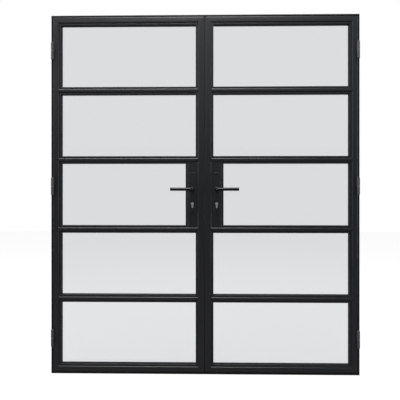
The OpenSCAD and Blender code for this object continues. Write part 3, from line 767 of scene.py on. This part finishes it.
class DOORS_OT_hinges(bpy.types.Operator):
    """Make the turned hinge barrels, their weld lugs, pins and washers"""
    bl_idname = "doors.hinges"
    bl_label = "Hinges"

    def execute(self, context):
        s = sizes()
        heights = s.hinge_heights
        # The frame's knuckles hold the pins, and the leaf's knuckles turn on them
        hold_play, turn_play = 0.00002, 0.00005
        knuckle_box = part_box("hinge_frame_knuckles")
        pin_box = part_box("hinge_pins")
        washer_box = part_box("hinge_washers")
        axis_y = middle(pin_box, 1)
        pin_r = half_size(pin_box, 1)
        axis_x = pin_box[1][0] - pin_r
        pin_half = heights[0] - pin_box[0][2]
        barrel_end = heights[0] - knuckle_box[0][2]
        washer_low = heights[0] - washer_box[0][2]
        washer_high = washer_box[1][2] - heights[2]
        lug_inset = 2 * s.barrel / 3
        frame_data, pins, washers = bmesh.new(), bmesh.new(), bmesh.new()
        for name, side in SIDES.items():
            leaf_data = bmesh.new()
            for z in heights:
                centre = (side * axis_x, axis_y, z)
                for target, turn, play, lug in ((frame_data, -1, hold_play, s.frame_lug),
                                                (leaf_data, 1, turn_play, s.leaf_lug)):
                    profile = self.knuckle(turn, washer_low, barrel_end, pin_r + play, pin_half)
                    turned(target, profile, centre)
                    block(target, side * (axis_x + lug[0]), side * (axis_x + lug[1]),
                          axis_y, knuckle_box[1][1], z + turn * (washer_low + lug_inset),
                          z + turn * (barrel_end - lug_inset))
                turned(pins, self.pin(pin_r, pin_half), centre)
                turned(washers, self.washer(pin_r, washer_box[1][0] - axis_x,
                                            -washer_low, washer_high), centre)
            knuckles = mesh_object(name + "_leaf_knuckles", leaf_data, material_of("hinge_coat"))
            settle(knuckles, name + "_leaf", "hinge_coat", name + "_hinge_knuckles")
        knuckles = mesh_object("frame_knuckles", frame_data, material_of("hinge_coat"))
        settle(knuckles, "frame", "hinge_coat", "hinge_frame_knuckles")
        settle(mesh_object("hinge_pin_set", pins, material_of("zinc_steel")),
               "frame", "zinc_steel", "hinge_pins")
        settle(mesh_object("hinge_washer_set", washers, material_of("zinc_steel")),
               "frame", "zinc_steel", "hinge_washers")
        return {"FINISHED"}

    def knuckle(self, turn, low, end, bore, pin_half):
        """Profile of a bored barrel, from its open end to its domed end"""
        s = sizes()
        r = s.barrel
        rim = 0.0004
        deep = pin_half + PAST
        points = [(0, deep), (bore, deep), (bore, low), (r - rim, low), (r, low + rim)]
        points += [(r - inset, end - short) for inset, short in rounding(s.barrel_edge)]
        points.append((0, end))
        return [(radius, turn * height) for radius, height in points]

    def pin(self, r, half):
        """Profile of a pin with bevelled ends"""
        bevel = 0.0008
        return [(0, -half), (r - bevel, -half), (r, bevel - half),
                (r, half - bevel), (r - bevel, half), (0, half)]

    def washer(self, pin_r, r, low, high):
        """Profile of a washer with a bevelled rim"""
        bore = pin_r + 0.00015
        bevel = 0.0003
        return [(bore, low), (r - bevel, low), (r, low + bevel),
                (r, high - bevel), (r - bevel, high), (bore, high), (bore, low)]


class DOORS_OT_stage(bpy.types.Operator):
    """Set the floor, the sky, the lamps and the camera"""
    bl_idname = "doors.stage"
    bl_label = "Stage"

    def execute(self, context):
        settings = context.scene.door_stage
        self.floor(settings)
        self.sky(context.scene, settings)
        powers = {"key_lamp": settings.key_power, "front_lamp": settings.front_power,
                  "left_lamp": settings.side_power, "right_lamp": settings.side_power,
                  "rear_lamp": settings.rear_power}
        for name, (size, place, target) in LAMPS.items():
            self.lamp(name, powers[name], size, place, target)
        camera = bpy.data.objects.new("camera", bpy.data.cameras.new("camera"))
        camera.data.sensor_width = 36.0
        camera.data.lens = settings.lens
        camera.data.shift_y = settings.rise
        camera.location = settings.camera_place
        camera.rotation_euler = (math.pi / 2, 0.0, settings.camera_turn)
        context.scene.collection.objects.link(camera)
        context.scene.camera = camera
        context.scene.view_settings.view_transform = "Standard"
        return {"FINISHED"}

    def background_rays(self, nodes, mirror_share):
        """1 for rays that should see the plain background, and a share for reflections

        A ray that comes through glass counts only where no surface mirrored it first.
        """
        unmirrored = nodes.light_path("Glossy Depth") < 0.5
        return (nodes.light_path("Is Camera Ray")
                + nodes.light_path("Is Transmission Ray") * unmirrored
                + nodes.light_path("Is Glossy Ray") * mirror_share)

    def floor(self, settings):
        """Floor that shows plain white with a soft shadow, and throws little light back"""
        data = bmesh.new()
        reach, drop = settings.floor_reach, 0.0005
        data.faces.new([data.verts.new((x, y, -drop)) for x, y in
                        ((-reach, -reach), (reach, -reach), (reach, reach), (-reach, reach))])
        nodes = Finish("floor_finish")
        grain = nodes.noise(nodes.place, scale=30.0)
        seen = self.background_rays(nodes, settings.mirror_share)
        tone = nodes.tones(grain, settings.floor, 0.99, 1.01)
        matt = nodes.node("ShaderNodeBsdfDiffuse", None, {
            "Color": nodes.mix(seen, shade(settings.bounce, 1.0), tone)})
        glow = nodes.node("ShaderNodeEmission", None, {
            "Color": (1, 1, 1, 1), "Strength": settings.glow})
        both = nodes.node("ShaderNodeMixShader", None, {
            0: seen * settings.plain_share, 1: matt, 2: glow})
        nodes.node("ShaderNodeOutputMaterial", None, {"Surface": both})
        mesh_object("floor", data, nodes.material)

    def sky(self, scene, settings):
        """Even light all round, in front of a plain white background"""
        world = bpy.data.worlds.new("plain_sky")
        world.use_nodes = True
        scene.world = world
        nodes = Nodes(world.node_tree)
        part = self.background_rays(nodes, settings.mirror_share)
        even = nodes.node("ShaderNodeBackground", None, {"Color": shade(settings.sky, 1.0)})
        plain = nodes.node("ShaderNodeBackground", None, {"Color": (1, 1, 1, 1)})
        both = nodes.node("ShaderNodeMixShader", None, {0: part, 1: even, 2: plain})
        nodes.node("ShaderNodeOutputWorld", None, {"Surface": both})

    def lamp(self, name, watts, size, place, target):
        """Soft rectangular lamp that doesn't show, also not through the glass"""
        light = bpy.data.lights.new(name, "AREA")
        light.energy = watts
        light.shape = "RECTANGLE"
        light.size, light.size_y = size
        lamp = bpy.data.objects.new(name, light)
        lamp.visible_camera = False
        lamp.visible_transmission = False
        lamp.location = place
        lamp.rotation_euler = (Vector(target) - Vector(place)).to_track_quat("-Z", "Y").to_euler()
        bpy.context.scene.collection.objects.link(lamp)


class DOORS_PT_panel(bpy.types.Panel):
    """Steps that dress the doors"""
    bl_label = "Doors"
    bl_idname = "DOORS_PT_panel"
    bl_space_type = "VIEW_3D"
    bl_region_type = "UI"
    bl_category = "Doors"

    def draw(self, context):
        scene = context.scene
        for settings in (scene.door_sizes, scene.door_finishes, scene.door_stage):
            for name in settings.__annotations__:
                self.layout.prop(settings, name)
        for step in STEPS:
            self.layout.operator(step.bl_idname)


STEPS = (DOORS_OT_finishes, DOORS_OT_tubes, DOORS_OT_beads, DOORS_OT_plates,
         DOORS_OT_levers, DOORS_OT_hinges, DOORS_OT_stage)
GROUPS = {"door_sizes": DoorSizes, "door_finishes": DoorFinishes, "door_stage": DoorStage}


def register():
    for cls in (*GROUPS.values(), *STEPS, DOORS_PT_panel):
        bpy.utils.register_class(cls)
    for name, group in GROUPS.items():
        setattr(bpy.types.Scene, name, PointerProperty(type=group))


def unregister():
    for name in GROUPS:
        delattr(bpy.types.Scene, name)
    for cls in reversed((*GROUPS.values(), *STEPS, DOORS_PT_panel)):
        bpy.utils.unregister_class(cls)


def main():
    register()
    bpy.ops.doors.finishes()
    bpy.ops.doors.tubes()
    bpy.ops.doors.beads()
    bpy.ops.doors.plates()
    bpy.ops.doors.levers()
    bpy.ops.doors.hinges()
    bpy.ops.doors.stage()


if __name__ == "__main__":
    main()
